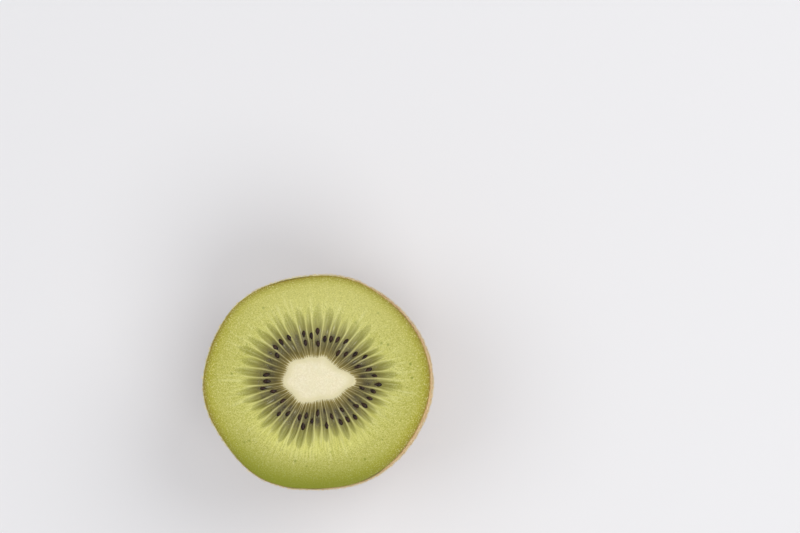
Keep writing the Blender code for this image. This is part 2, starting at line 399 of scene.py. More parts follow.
class Shade:
    """The nodes of one material."""

    def __init__(self, name):
        self.material = bpy.data.materials.new(name)
        self.material.use_nodes = True
        self.tree = self.material.node_tree
        self.shader = self.tree.nodes["Principled BSDF"]

    def put(self, kind, inputs, output=0, **settings):
        """Adds a node and gives back one of its outputs."""
        made = self.tree.nodes.new(kind)
        for key, value in settings.items():
            setattr(made, key, value)
        for key, value in inputs.items():
            self.feed(made.inputs[key], value)
        return made.outputs[output]

    def feed(self, socket, value):
        if isinstance(value, bpy.types.NodeSocket):
            self.tree.links.new(value, socket)
        else:
            socket.default_value = value

    def set(self, **values):
        """Sets the shader's inputs, whose names are given with _ for each space."""
        for key, value in values.items():
            self.feed(self.shader.inputs[key.replace("_", " ")], value)

    def attribute(self, name, output="Fac"):
        return self.put("ShaderNodeAttribute", {}, output, attribute_name=name)

    def position(self):
        return self.put("ShaderNodeTexCoord", {}, "Object")

    def coordinate(self, axis):
        """The position's X, Y or Z."""
        return self.put("ShaderNodeSeparateXYZ", {0: self.position()}, axis)

    def compare(self, operation, vector):
        """The position's product with a vector, or its distance from one."""
        inputs = {0: self.position(), 1: vector}
        return self.put("ShaderNodeVectorMath", inputs, "Value", operation=operation)

    def math(self, operation, a, b):
        return self.put("ShaderNodeMath", {0: a, 1: b}, operation=operation)

    def times(self, first, *others):
        for other in others:
            first = self.math("MULTIPLY", first, other)
        return first

    def remap(self, value, low, high, to_low=0.0, to_high=1.0):
        inputs = {"Value": value, "From Min": low, "From Max": high}
        inputs.update({"To Min": to_low, "To Max": to_high})
        return self.put("ShaderNodeMapRange", inputs, interpolation_type="SMOOTHSTEP")

    def mix(self, share, a, b):
        return self.put("ShaderNodeMix", {0: share, 6: a, 7: b}, 2, data_type="RGBA")

    def ramp(self, value, stops):
        made = self.tree.nodes.new("ShaderNodeValToRGB")
        self.tree.links.new(value, made.inputs[0])
        band = made.color_ramp
        while len(band.elements) < len(stops):
            band.elements.new(0.5)
        for element, (spot, colour) in zip(band.elements, stops):
            element.position = spot
            element.color = colour
        return made.outputs[0]

    def noise(self, vector, scale, detail, roughness):
        inputs = {"Vector": vector, "Scale": scale, "Detail": detail, "Roughness": roughness}
        return self.put("ShaderNodeTexNoise", inputs, "Fac")

    def cells(self, vector, scale, output="Distance"):
        return self.put("ShaderNodeTexVoronoi", {"Vector": vector, "Scale": scale}, output)

    def tilted(self, vector):
        """Turned so that the flat cut isn't in line with a noise's own grid."""
        return self.put("ShaderNodeMapping", {"Vector": vector, "Rotation": (0.6, 0.4, 0.0)})

    def bump(self, height, distance, strength):
        inputs = {"Height": height, "Distance": distance, "Strength": strength}
        return self.put("ShaderNodeBump", inputs)


def warped(chamber, distance):
    """Chamber numbers moved a little, so that the walls aren't evenly spaced or quite straight."""
    draw = random.Random(WALL_DRAW)
    moved = [draw.uniform(-0.16, 0.16) for _ in range(CHAMBERS)]
    walls = np.arange(-1, CHAMBERS + 2)
    spots = walls + np.array([moved[n % CHAMBERS] for n in walls])
    bend = 0.05 * np.sin(0.75 * distance + 2.1 * chamber) * smooth_step(0.5, 4.0, distance)
    return np.interp(chamber + bend, spots, walls)


def chamber_pitch(share):
    """Mean width of a chamber in mm, at a share of the way from the core to the rim."""
    return PITCH_AT_CORE + PITCH_GROWTH * share


def off_line(chamber, share, spot):
    """Distance in mm across the cut from the line at one chamber number."""
    apart = np.abs((chamber - spot + CHAMBERS / 2) % CHAMBERS - CHAMBERS / 2)
    return apart * chamber_pitch(share)


def chamber_marks(chamber, share, distance):
    """How much of a chamber, and of the pale lines round it, shows at points of the cut.
    distance is from the core's edge, in mm, and so are all lengths here."""
    draw = random.Random(CHAMBER_DRAW)
    turn = math.tau * (np.arange(CHAMBERS) + 0.5) / CHAMBERS
    length = np.array([draw.gauss(*CHAMBER_LENGTH) for _ in range(CHAMBERS)])
    length += 1.1 * np.sin(turn) - 0.4 * np.cos(turn) - 0.2 * np.cos(2 * turn)
    widest = np.array([draw.uniform(*CHAMBER_HALF_WIDTH) for _ in range(CHAMBERS)])
    outer_depth = np.array([draw.uniform(0.6, 1.0) for _ in range(CHAMBERS)])
    glow = np.array([draw.uniform(0.25, 1.0) for _ in range(2 * CHAMBERS)])
    half_pitch = chamber_pitch(share) / 2
    number = np.floor(chamber).astype(int) % CHAMBERS
    across = chamber - np.floor(chamber) - 0.5
    off_centre = np.abs(across) * 2 * half_pitch
    off_wall = half_pitch - off_centre
    end = length[number]

    to_tip = np.clip(1 - (end - distance) / CHAMBER_TAPER, 0, 1)
    margin = 0.05 + 0.10 * smooth_step(1.0, 6.0, distance)
    half_width = np.minimum(half_pitch - margin, widest[number])
    half_width = half_width * (1 - to_tip**2) ** 0.65
    half_width = half_width - 0.3 * smooth_step(0.7, 1.0, to_tip)
    softness = 0.07 + 0.26 * smooth_step(3.5, 9.5, distance)
    hollow = smooth_step(-softness, softness, half_width - off_centre)
    hollow = hollow * smooth_step(0.0, 0.5, distance)
    hollow = hollow * (1 - smooth_step(5.0, end, distance) * (1 - outer_depth[number]))
    hollow = hollow * (1 - 0.5 * smooth_step(0.3, 1.0, to_tip))

    side = 2 * number + (across > 0)
    beside = np.minimum(half_width + 0.5 * softness, half_pitch)
    border = bell(off_centre - beside, 0.07 + 0.004 * distance)
    border = border * (1 - smooth_step(end - 4.0, end - 1.0, distance))
    wall = bell(off_wall, 0.09) * smooth_step(2.4, 5.0, distance)
    lines = np.maximum(border * glow[side], 0.8 * wall * glow[number])
    wall_number = np.round(chamber).astype(int) % CHAMBERS
    rib = bell(off_wall, 0.06) * (1 - smooth_step(1.0, 3.0, distance))
    lines = np.maximum(lines, rib * np.maximum(0, glow[wall_number] - 0.4))
    lines = lines * smooth_step(-0.3, 0.2, distance) * (1 - smooth_step(9.0, 13.0, distance))
    return hollow, lines


def core_lines(chamber, share, distance):
    """Fine pale lines that run out from the core's edge and soon end."""
    draw = random.Random(CORE_LINE_DRAW)
    lines = np.zeros_like(distance)
    for number in range(CHAMBERS):
        off = off_line(chamber, share, number + draw.uniform(0.3, 0.7))
        end = draw.uniform(*CORE_LINE_LENGTH)
        line = bell(off, draw.uniform(0.06, 0.10))
        line = line * (1 - smooth_step(0.4 * end, end, distance))
        lines = np.maximum(lines, line * draw.uniform(0.35, 1.0))
    return lines


def outer_rays(chamber, share, distance):
    """Thin pale fibres that run on from between the chambers towards the rim."""
    draw = random.Random(RAY_DRAW)
    rays = np.zeros_like(distance)
    for _ in range(RAYS_PER_CHAMBER * CHAMBERS):
        off = off_line(chamber, share, draw.uniform(0, CHAMBERS))
        start = draw.gauss(*RAY_START)
        end = start + draw.uniform(*RAY_LENGTH)
        ray = bell(off, draw.uniform(0.08, 0.24))
        ray = ray * smooth_step(start - 1.2, start + 1.0, distance)
        ray = ray * (1 - smooth_step(end - 2.5, end, distance))
        rays = np.maximum(rays, ray * draw.uniform(0.3, 1.0))
    return rays


def buried_seeds(x, y, core_points):
    """How dark the seeds under the surface make each point of the cut, and painted glints: pale
    streaks that stand in for light reflected off the wet gel.
    """
    draw = random.Random(BURIED_DRAW)
    dark = np.zeros_like(x)
    painted_glints = np.zeros_like(x)

    def blob(chamber, distance, length, width, power):
        spot, outward = seed_spot(chamber, distance * MM, core_points)
        along = outward.normalized()
        dx, dy = x - spot.x, y - spot.y
        run = (dx * along.x + dy * along.y) / (length * MM)
        side = (dx * along.y - dy * along.x) / (width * MM)
        return np.exp(-((run * run + side * side) ** power))

    for number in range(CHAMBERS):
        for _ in range(draw.choice(BURIED_SEEDS)):
            reach = draw.triangular(*BURIED_REACH)
            mark = blob(
                number + draw.uniform(0.3, 0.7), reach,
                draw.uniform(0.6, 0.95), draw.uniform(0.34, 0.5), 1.5,
            )
            dark = np.maximum(dark, mark * draw.uniform(0.35, 1.1) * (1.15 - 0.1 * reach))
    for _ in range(PAINTED_GLINT_STREAKS):
        mark = blob(
            draw.randrange(CHAMBERS) + draw.uniform(0.2, 0.8), draw.uniform(2.6, 7.6),
            draw.uniform(0.3, 0.9), draw.uniform(0.06, 0.11), 1.0,
        )
        painted_glints = np.maximum(painted_glints, mark * draw.uniform(0.4, 1.0))
    return dark, painted_glints


def seed_spot(chamber, distance, core_points):
    """Where a seed lies on the cut, and the way from the core to the rim there."""
    inner = Vector(core_points[int(chamber / CHAMBERS * OUTLINE_SAMPLES) % OUTLINE_SAMPLES])
    turn = np.array([math.tau * chamber / CHAMBERS])
    outer = Vector(peel_ring(turn, CUT_HEIGHT)[0][:2])
    return inner + (outer - inner).normalized() * distance, outer - inner


def crowded(spot, outward, others):
    """Whether a seed here would meet another one."""
    along = outward.normalized()
    for other in others:
        apart = spot - other
        length = abs(apart.dot(along)) / SEED_GAP_ALONG
        width = abs(apart.cross(along)) / SEED_GAP_ACROSS
        if math.hypot(length, width) < 1:
            return True
    return False


def seed_places():
    """(chamber, distance from the core's edge, turn) of each seed, as in the solids."""
    draw = random.Random(SEED_DRAW)
    core_points = core_outline(OUTLINE_SAMPLES)
    places = []
    taken = []
    for _ in range(SEED_TRIES):
        chamber = draw.randrange(CHAMBERS) + draw.uniform(*SEED_SIDEWAYS)
        distance = SEED_NEAR + (SEED_FAR - SEED_NEAR) * draw.random() ** SEED_OUTWARD_BIAS
        turn = draw.gauss(0, SEED_TURN)
        spot, outward = seed_spot(chamber, distance, core_points)
        if len(places) < SEEDS and not crowded(spot, outward, taken):
            places.append((chamber, distance, turn))
            taken.append(spot)
    return places


def face_shares():
    """How far from the core to the rim each ring of the cut lies."""
    inner = [INNER_SHARE * i / INNER_RINGS for i in range(INNER_RINGS)]
    rest = 1 - INNER_SHARE
    outer = [INNER_SHARE + rest * i / OUTER_RINGS for i in range(OUTER_RINGS + 1)]
    return inner + outer


def socket_depths():
    """Depths of the rings down the core, evenly spaced round its curve."""
    steps = range(1, SOCKET_RINGS + 1)
    return [CORE_DEPTH * math.sin(math.pi / 2 * step / (SOCKET_RINGS + 1)) for step in steps]


def make_flesh():
    """The flesh, from the core's socket over the cut and down inside the peel."""
    turns = full_circle(FACE_SIDES)
    core_points = core_outline(FACE_SIDES)
    rim = peel_ring(turns, CUT_HEIGHT)[:, :2]
    reach = np.linalg.norm(rim - core_points, axis=1)
    outward = (rim - core_points) / reach[:, None]
    rim_inside = rim - outward * (PEEL_THICKNESS + GAP)
    chamber = CHAMBERS * np.arange(FACE_SIDES) / FACE_SIDES

    rings = []
    for depth in reversed(socket_depths()):
        outline = core_outline(FACE_SIDES, core_scale(depth))
        rings.append(np.column_stack([outline, np.full(FACE_SIDES, CUT_HEIGHT - depth)]))
    face_start = len(rings)
    shares = face_shares()
    for share in shares:
        spot = core_points + (rim_inside - core_points) * share
        uneven = warped(chamber, share * reach / MM)
        rings.append(np.column_stack([spot, cut_height(uneven, share)]))
    face_end = len(rings)
    for height in side_heights(SIDE_RINGS)[1:-1]:
        ring = peel_ring(turns, height)
        middle = ring.mean(axis=0)
        inset = SIDE_INSET * smooth_step(0, SIDE_INSET_DEPTH, RIM_HEIGHT - height)
        inset += PEEL_THICKNESS + GAP
        thinner = 1 - inset / (RIM_RADIUS * side_scale(height))
        ring = middle + (ring - middle) * (thinner, thinner, 1)
        ring[:, 2] += STEM_INSET * smooth_step(STEM_INSET_HEIGHT, 0, height)
        rings.append(ring)

    face = np.array(rings[face_start:face_end])
    share_grid = np.repeat(np.array(shares)[:, None], FACE_SIDES, axis=1)
    chamber_grid = np.repeat(chamber[None, :], len(shares), axis=0)
    distance_grid = share_grid * reach[None, :] / MM
    uneven = warped(chamber_grid, distance_grid)
    hollow, lines = chamber_marks(uneven, share_grid, distance_grid)
    rays = outer_rays(chamber_grid, share_grid, distance_grid)
    fine_lines = core_lines(uneven, share_grid, distance_grid)
    draw = random.Random(FLESH_DRAW)
    fine = ripples(face, 0.9 * MM, draw) * 0.5 + ripples(face, 2.2 * MM, draw) * 0.5
    in_ring = smooth_step(0.02, 0.1, share_grid) * (1 - smooth_step(0.4, 0.6, share_grid))
    face[..., 2] += (RING_RIPPLE * fine + LINE_HEIGHT * lines) * in_ring
    face[..., 2] += OUTER_RIPPLE * fine * (1 - in_ring) * (share_grid < 0.97)
    rings[face_start:face_end] = list(face)

    flesh = closed_loft("kiwi_flesh", rings)
    mesh = flesh.data
    everything = len(mesh.vertices)
    on_face = slice(face_start * FACE_SIDES, face_end * FACE_SIDES)

    def spread(values, rest=0.0):
        """The values on the cut, and one value everywhere else."""
        filled = np.full(everything, rest)
        filled[on_face] = values.ravel()
        return filled

    dark, painted_glints = buried_seeds(face[..., 0], face[..., 1], core_outline(OUTLINE_SAMPLES))
    give(mesh, "share", spread(share_grid, 1.0))
    give(mesh, "distance_mm", spread(distance_grid, OFF_THE_CUT))
    give(mesh, "hollow", spread(hollow))
    give(mesh, "lines", spread(lines))
    give(mesh, "rays", spread(rays))
    give(mesh, "fine_lines", spread(fine_lines))
    give(mesh, "dark", spread(dark * (0.3 + 0.7 * hollow)))
    give(mesh, "painted_glints", spread(painted_glints * hollow))
    around = np.repeat(turns[None, :], len(shares), axis=0)
    fibre = np.stack([np.cos(around), np.sin(around), FIBRE_STRETCH * share_grid], axis=-1)
    fibres = np.zeros((everything, 3))
    fibres[on_face] = fibre.reshape(-1, 3)
    give_vectors(mesh, "fibre", fibres)
    mesh.materials.append(flesh_material())
    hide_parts("flesh")
    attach(flesh, "root")


def flesh_material():
    s = Shade("moist green flesh")
    share = s.attribute("share")
    distance = s.attribute("distance_mm")
    hollow = s.attribute("hollow")
    lines = s.attribute("lines")
    fine_lines = s.attribute("fine_lines")
    position = s.position()
    along = s.math("DIVIDE", distance, RAMP_LENGTH)

    ground = s.ramp(share, (
        (0.00, paint(128, 114, 54)),
        (0.14, paint(122, 110, 54)),
        (0.34, paint(184, 181, 97)),
        (0.55, paint(198, 197, 103)),
        (0.68, paint(196, 194, 103)),
        (0.84, paint(188, 185, 90)),
        (0.92, paint(174, 169, 58)),
        (0.97, paint(154, 144, 34)),
        (1.00, paint(136, 108, 14)),
    ))
    chamber = s.ramp(along, (
        (0.3 / RAMP_LENGTH, paint(138, 123, 60)),
        (1.6 / RAMP_LENGTH, paint(114, 102, 51)),
        (3.0 / RAMP_LENGTH, paint(103, 96, 58)),
        (4.6 / RAMP_LENGTH, paint(112, 106, 64)),
        (6.2 / RAMP_LENGTH, paint(120, 114, 60)),
        (7.6 / RAMP_LENGTH, paint(118, 114, 46)),
        (9.2 / RAMP_LENGTH, paint(120, 119, 42)),
        (11.0 / RAMP_LENGTH, paint(124, 125, 42)),
    ))
    wall = s.ramp(along, (
        (0.4 / RAMP_LENGTH, paint(208, 198, 152)),
        (2.0 / RAMP_LENGTH, paint(180, 170, 120)),
        (4.5 / RAMP_LENGTH, paint(182, 176, 128)),
        (6.5 / RAMP_LENGTH, paint(200, 196, 140)),
        (9.0 / RAMP_LENGTH, paint(216, 214, 144)),
    ))

    # The chambers, what lies in them, and the pale lines between them
    streaks = s.noise(s.attribute("fibre", "Vector"), 60.0, 3.0, 0.6)
    mottle = s.noise(position, 1 / (0.42 * MM), 3.0, 0.65)
    hollow_share = s.times(hollow, s.remap(streaks, 0.3, 0.7, 1.0, 0.72))
    colour = s.mix(hollow_share, ground, chamber)
    ring = s.times(s.remap(distance, 2.0, 4.0), s.remap(distance, 8.0, 5.5))
    grey = s.times(s.remap(mottle, 0.42, 0.62), hollow, ring)
    colour = s.mix(s.times(grey, 0.45), colour, paint(76, 66, 50))
    dark = s.times(s.attribute("dark"), s.remap(mottle, 0.2, 0.5, 0.7, 1.0), 0.9)
    colour = s.mix(dark, colour, paint(52, 42, 36))
    line_share = s.times(lines, s.remap(mottle, 0.3, 0.7, 0.95, 0.55))
    colour = s.mix(line_share, colour, wall)
    colour = s.mix(s.times(fine_lines, 0.8), colour, paint(196, 186, 136))
    ray_share = s.times(s.attribute("rays"), s.remap(hollow, 0.6, 0.1, 0.35, 0.8))
    colour = s.mix(ray_share, colour, paint(222, 220, 150))
    # Painted glints: pale streaks that stand in for light reflected off the wet gel
    colour = s.mix(s.times(s.attribute("painted_glints"), 0.8), colour, paint(222, 220, 190))

    # Fibres past the chambers
    fade = s.times(s.remap(share, 0.36, 0.5), s.remap(share, 0.82, 0.58))
    fade = s.times(fade, s.remap(hollow, 0.5, 0.05, 0.2, 1.0))
    light_streaks = s.times(s.remap(streaks, 0.5, 0.66), fade, 0.6)
    colour = s.mix(light_streaks, colour, paint(218, 217, 142))
    dark_streaks = s.times(s.remap(streaks, 0.47, 0.32), fade, 0.4)
    colour = s.mix(dark_streaks, colour, paint(168, 167, 80))

    # Grain, painted sparkles (pale cells that stand in for glints of light on the wet flesh) and a
    # few green spots
    outer = s.remap(share, 0.36, 0.62)
    tilted = s.tilted(position)
    coarse_grain = s.noise(tilted, 1 / (0.34 * MM), 3.0, 0.75)
    fine_grain = s.noise(tilted, 1 / (0.2 * MM), 1.0, 0.5)
    grain = s.math("ADD", s.times(coarse_grain, 0.5), s.times(fine_grain, 0.5))
    dark_grain = s.times(s.remap(grain, 0.52, 0.36), outer, 0.72)
    colour = s.mix(dark_grain, colour, paint(146, 146, 48))
    light_grain = s.times(s.remap(grain, 0.50, 0.66), outer, 0.68)
    colour = s.mix(light_grain, colour, paint(224, 221, 148))
    picked = s.remap(s.cells(position, 1 / (0.42 * MM), "Color"), 0.74, 0.84)
    painted_sparkles = s.remap(s.cells(position, 1 / (0.42 * MM)), 0.32, 0.14)
    painted_sparkles = s.times(painted_sparkles, picked, s.remap(share, 0.4, 0.8, 0.0, 0.6))
    colour = s.mix(painted_sparkles, colour, paint(238, 236, 184))
    spots = s.remap(s.cells(position, 1 / (2.7 * MM)), 0.17, 0.07)
    spots = s.times(spots, s.remap(share, 0.5, 0.6), s.remap(share, 0.9, 0.8), 0.7)
    colour = s.mix(spots, colour, paint(132, 142, 48))
    # Painted glints: pale specks in the grey of the seed ring, standing in for light caught on wet
    # spots
    chamber_painted_glints = s.remap(s.cells(position, 1 / (0.36 * MM)), 0.3, 0.12)
    colour = s.mix(s.times(chamber_painted_glints, grey, 0.7), colour, paint(190, 190, 168))

    # Painted shade: darker and greener towards the rim on the -Y side, with a yellow fan inside
    # it; and painted light: paler at the opposite rim
    towards = s.compare("DOT_PRODUCT", SHADED_RIM_SIDE)
    painted_rim_shade = s.times(s.remap(towards, 8 * MM, 26 * MM), s.remap(share, 0.55, 1.0, 0.05, 0.9))
    colour = s.mix(painted_rim_shade, colour, paint(130, 138, 32))
    fan = s.times(s.remap(share, 0.4, 0.5), s.remap(share, 0.7, 0.52))
    fan = s.times(fan, s.remap(towards, 6 * MM, 16 * MM, 0.0, 0.5))
    fan = s.times(fan, s.remap(streaks, 0.38, 0.58, 0.3, 1.0), s.remap(hollow, 0.6, 0.1))
    colour = s.mix(fan, colour, paint(228, 226, 130))
    painted_rim_light = s.times(s.remap(towards, -5 * MM, -24 * MM), s.remap(share, 1.03, 0.86, 0.0, 0.3))
    colour = s.mix(painted_rim_light, colour, paint(230, 226, 150))

    # The core's colour runs out along the lines and past its tip
    spikes = s.math("MAXIMUM", lines, fine_lines)
    edge = s.math("SUBTRACT", distance, s.times(spikes, 0.8))
    edge = s.math("ADD", edge, s.remap(coarse_grain, 0.3, 0.7, -0.2, 0.2))
    from_tip = s.compare("DISTANCE", CORE_TIP)
    edge = s.math("SUBTRACT", edge, s.remap(from_tip, 1.7 * MM, 0.2 * MM))
    colour = s.mix(s.remap(edge, 0.62, -0.25), colour, CORE_EDGE_COLOUR)

    wet = s.noise(position, 1 / (0.3 * MM), 3.0, 0.6)
    relief = s.bump(s.math("ADD", wet, s.times(streaks, 0.5)), 0.07 * MM, 0.7)
    s.set(Base_Color=colour, Roughness=0.42, IOR=1.38, Specular_IOR_Level=0.35, Normal=relief)
    s.set(Subsurface_Weight=0.2, Subsurface_Radius=(1.0, 0.9, 0.35), Subsurface_Scale=0.4 * MM)
    s.set(Coat_Weight=0.15, Coat_Roughness=0.12, Coat_Normal=relief)
    return s.material


def make_core():
    """The core, from its top down to its end."""
    turns = full_circle(FACE_SIDES // 2)
    count = len(turns)
    edge = core_outline(count, 1.0, -CORE_LAP)
    rings = []
    for i in range(1, CORE_RINGS + 1):
        share = i / CORE_RINGS
        spot = CORE_CENTRE + (edge - CORE_CENTRE) * share
        crown = CORE_CROWN * (1 - share**2) ** 2
        drop = CORE_LAP / 2 * smooth_step(0.97, 1.0, share)
        rings.append(np.column_stack([spot, np.full(count, CUT_HEIGHT + crown - drop)]))
    top = np.array(rings)
    draw = random.Random(CORE_DRAW)
    bumps = ripples(top, 1.1 * MM, draw) * 0.008 * MM + ripples(top, 3.0 * MM, draw) * 0.03 * MM
    shares = np.arange(1, CORE_RINGS + 1) / CORE_RINGS
    top[..., 2] += bumps * (1 - smooth_step(0.85, 1.0, shares))[:, None]
    under = core_outline(count, 1.0, GAP)
    rings = list(top) + [np.column_stack([under, np.full(count, CUT_HEIGHT - 2 * CORE_LAP)])]
    for depth in socket_depths():
        outline = core_outline(count, core_scale(depth), GAP)
        rings.append(np.column_stack([outline, np.full(count, CUT_HEIGHT - depth + GAP)]))
    core = closed_loft("kiwi_core", rings)
    edge_distance = np.zeros(len(core.data.vertices))
    reach = np.linalg.norm(edge - CORE_CENTRE, axis=1)
    edge_distance[:CORE_RINGS * count] = np.outer(1 - shares, reach).ravel() / MM
    edge_distance[-2] = CORE_RADIUS / MM  # the middle of the top
    give(core.data, "edge_mm", edge_distance)
    core.data.materials.append(core_material())
    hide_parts("core")
    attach(core, "root")


def core_material():
    s = Shade("cream core")
    position = s.position()
    edge = s.attribute("edge_mm")
    grain = s.noise(position, 1 / (0.34 * MM), 4.0, 0.65)
    cloud = s.noise(position, 1 / (2.4 * MM), 2.0, 0.5)
    colour = s.mix(s.remap(grain, 0.35, 0.65), paint(231, 221, 186), paint(244, 236, 206))
    colour = s.mix(s.remap(cloud, 0.4, 0.66, 0.0, 0.4), colour, paint(232, 226, 190))
    colour = s.mix(s.remap(edge, 2.0, -0.1), colour, CORE_EDGE_COLOUR)
    relief = s.bump(grain, 0.05 * MM, 0.5)
    s.set(Base_Color=colour, Roughness=0.5, IOR=1.38, Normal=relief)
    s.set(Subsurface_Weight=0.25, Subsurface_Radius=(1.0, 0.85, 0.5), Subsurface_Scale=0.45 * MM)
    s.set(Coat_Weight=0.12, Coat_Roughness=0.3)
    return s.material


def peel_grid():
    """The peel's uneven outer surface, ring by ring from the rim down to the flat spot."""
    turns = full_circle(PEEL_SIDES)
    grid = np.array([peel_ring(turns, height) for height in side_heights(PEEL_BANDS)])
    normals = grid_normals(grid)
    draw = random.Random(PEEL_DRAW)
    lumps = 0.6 * ripples(grid, 7.0 * MM, draw) + 0.4 * ripples(grid, 2.5 * MM, draw)
    steady = smooth_step(0, 3 * MM, grid[..., 2])
    grid = grid + normals * (PEEL_LUMP * lumps * steady)[..., None]
    return grid, normals


def stem_ring(turns, radius, height):
    """A ring round the middle of the stem end."""
    x = STEM_LEAN[0] + radius * np.cos(turns)
    y = STEM_LEAN[1] + radius * np.sin(turns)
    return np.stack([x, y, np.full_like(x, height)], axis=-1)


def make_peel(grid, normals):
    """A closed shell, from its inside up over the lip and down to the scar's floor."""
    inner = grid - normals * PEEL_THICKNESS
    inner[:, :, 2] = np.maximum(inner[:, :, 2], SCAR_DEPTH + PEEL_THICKNESS)
    edge = inner[0].copy()
    edge[:, 2] = cut_height(0.0, 1 - PEEL_THICKNESS / MEAN_REACH)
    lip = (edge + grid[0]) / 2
    lip[:, 2] = np.maximum(edge[:, 2], grid[0][:, 2]) - 0.02 * MM
    rings = [*inner[:0:-1], edge, lip, *grid]
    turns = full_circle(PEEL_SIDES)
    for radius, height in ((SCAR_RADIUS + SCAR_SLOPE, 0.0), (SCAR_RADIUS, SCAR_DEPTH)):
        rings.append(stem_ring(turns, radius, height))
    peel = closed_loft("kiwi_peel", rings)
    peel.data.materials.append(peel_material())
    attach(peel, "root")


def peel_material():
    s = Shade("brown peel")
    position = s.position()
    cloud = s.noise(position, 1 / (4.5 * MM), 3.0, 0.6)
    spots = s.noise(position, 1 / (0.9 * MM), 4.0, 0.7)
    colour = s.mix(s.remap(cloud, 0.35, 0.65), paint(134, 98, 56), paint(166, 128, 82))
    colour = s.mix(s.remap(spots, 0.42, 0.6, 0.0, 0.55), colour, paint(112, 80, 46))
    specks = s.remap(s.cells(position, 1 / (0.8 * MM)), 0.24, 0.14, 0.0, 0.6)
    colour = s.mix(specks, colour, paint(84, 56, 34))

    # Painted light: paler towards the cut, standing in for the light that the peel and hairs
    # beside the cut catch
    height = s.coordinate("Z")
    uneven = s.math("ADD", height, s.remap(cloud, 0.3, 0.7, -4.0 * MM, 2.0 * MM))
    peel_painted_light = s.remap(uneven, CUT_HEIGHT - 20.0 * MM, CUT_HEIGHT - 4.0 * MM, 0.0, 0.6)
    colour = s.mix(peel_painted_light, colour, paint(206, 168, 116))

    # The thin lip at the cut, browner to the right, with painted shade: darker and greener on the
    # -Y side, as on the flesh's rim
    patches = s.remap(spots, 0.45, 0.62)
    left_lip = s.mix(patches, paint(226, 226, 172), paint(180, 172, 106))
    right_lip = s.mix(patches, paint(204, 172, 118), paint(156, 118, 70))
    lip_colour = s.mix(s.remap(s.coordinate("X"), -2 * MM, 19 * MM), left_lip, right_lip)
    painted_rim_shade = s.remap(s.compare("DOT_PRODUCT", SHADED_RIM_SIDE), 14 * MM, 25 * MM, 0.0, 0.8)
    lip_colour = s.mix(painted_rim_shade, lip_colour, paint(126, 112, 44))
    lip = s.remap(height, CUT_HEIGHT - 0.6 * MM, CUT_HEIGHT - 0.2 * MM, 0.0, 0.9)
    colour = s.mix(lip, colour, lip_colour)

    relief = s.bump(s.noise(position, 1 / (0.6 * MM), 5.0, 0.65), 0.16 * MM, 0.9)
    s.set(Base_Color=colour, Roughness=0.72, IOR=1.45, Normal=relief)
    s.set(Sheen_Weight=0.9, Sheen_Roughness=0.5, Sheen_Tint=paint(240, 205, 155))
    return s.material


def hair_mesh(name, roots, ways, bends, lengths, radius):
    """Curved hairs of three sides that end in a point, all in one mesh."""
    count = len(roots)
    side = np.cross(ways, bends)
    side /= np.linalg.norm(side, axis=1, keepdims=True)
    front = np.cross(side, ways)
    front /= np.linalg.norm(front, axis=1, keepdims=True)
    length = lengths[:, None]
    middle = roots + length * (ways * HAIR_MIDDLE[0] + bends * HAIR_MIDDLE[1])
    tip = roots + length * (ways * HAIR_TIP[0] + bends * HAIR_TIP[1])
    points = np.zeros((count, 2 * HAIR_SIDES + 1, 3))
    for k in range(HAIR_SIDES):
        turn = math.tau * k / HAIR_SIDES
        offset = side * math.cos(turn) + front * math.sin(turn)
        points[:, k] = roots + offset * radius
        points[:, HAIR_SIDES + k] = middle + offset * radius * HAIR_MIDDLE_WIDTH
    points[:, -1] = tip
    points[..., 2] = np.maximum(points[..., 2], FLOOR_GAP)
    faces = np.array((
        (0, 1, 4), (0, 4, 3), (1, 2, 5), (1, 5, 4), (2, 0, 3), (2, 3, 5),
        (3, 4, 6), (4, 5, 6), (5, 3, 6), (0, 2, 1),
    ))
    first_points = points.shape[1] * np.arange(count)
    corners = (faces[None, :, :] + first_points[:, None, None]).ravel()
    mesh = bpy.data.meshes.new(name)
    mesh.vertices.add(points.shape[0] * points.shape[1])
    mesh.vertices.foreach_set("co", points.ravel())
    mesh.loops.add(len(corners))
    mesh.loops.foreach_set("vertex_index", corners.astype(np.int32))
    mesh.polygons.add(len(corners) // 3)
    mesh.polygons.foreach_set("loop_start", np.arange(0, len(corners), 3, dtype=np.int32))
    mesh.update(calc_edges=True)
    mesh.shade_smooth()
    return mesh


